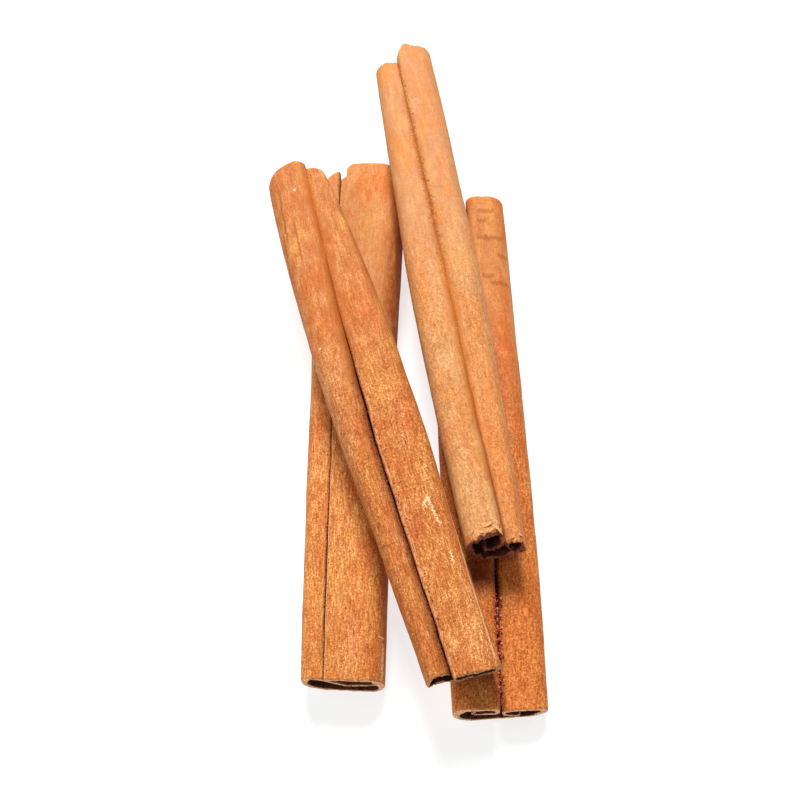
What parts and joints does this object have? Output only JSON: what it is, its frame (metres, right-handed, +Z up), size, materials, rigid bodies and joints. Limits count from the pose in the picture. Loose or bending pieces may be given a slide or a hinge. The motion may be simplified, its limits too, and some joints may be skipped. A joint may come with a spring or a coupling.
{
  "type": "stack of cinnamon sticks",
  "caption": "Small stack of dried cinnamon quills, each one sheet of bark rolled inwards from both long edges, laid across one another as loose food dressing.",
  "frame": {"origin": "on the surface the stack lies on, under the middle of its bounding box", "axes": "+Y along the sticks from their near ends to their far ends, +X to the right across them, +Z up"},
  "size_m": [0.04, 0.1024, 0.0152],
  "materials": {
    "bark_left": "dry, matt rolled bark",
    "bark_right": "dry, matt rolled bark, redder",
    "bark_slanting": "dry, matt rolled bark",
    "bark_top": "dry, matt rolled bark, palest"
  },
  "bodies": {
    "root": {"stick_left": "bark_left", "stick_right": "bark_right", "stick_slanting": "bark_slanting", "stick_top": "bark_top"}
  },
  "joints": []
}
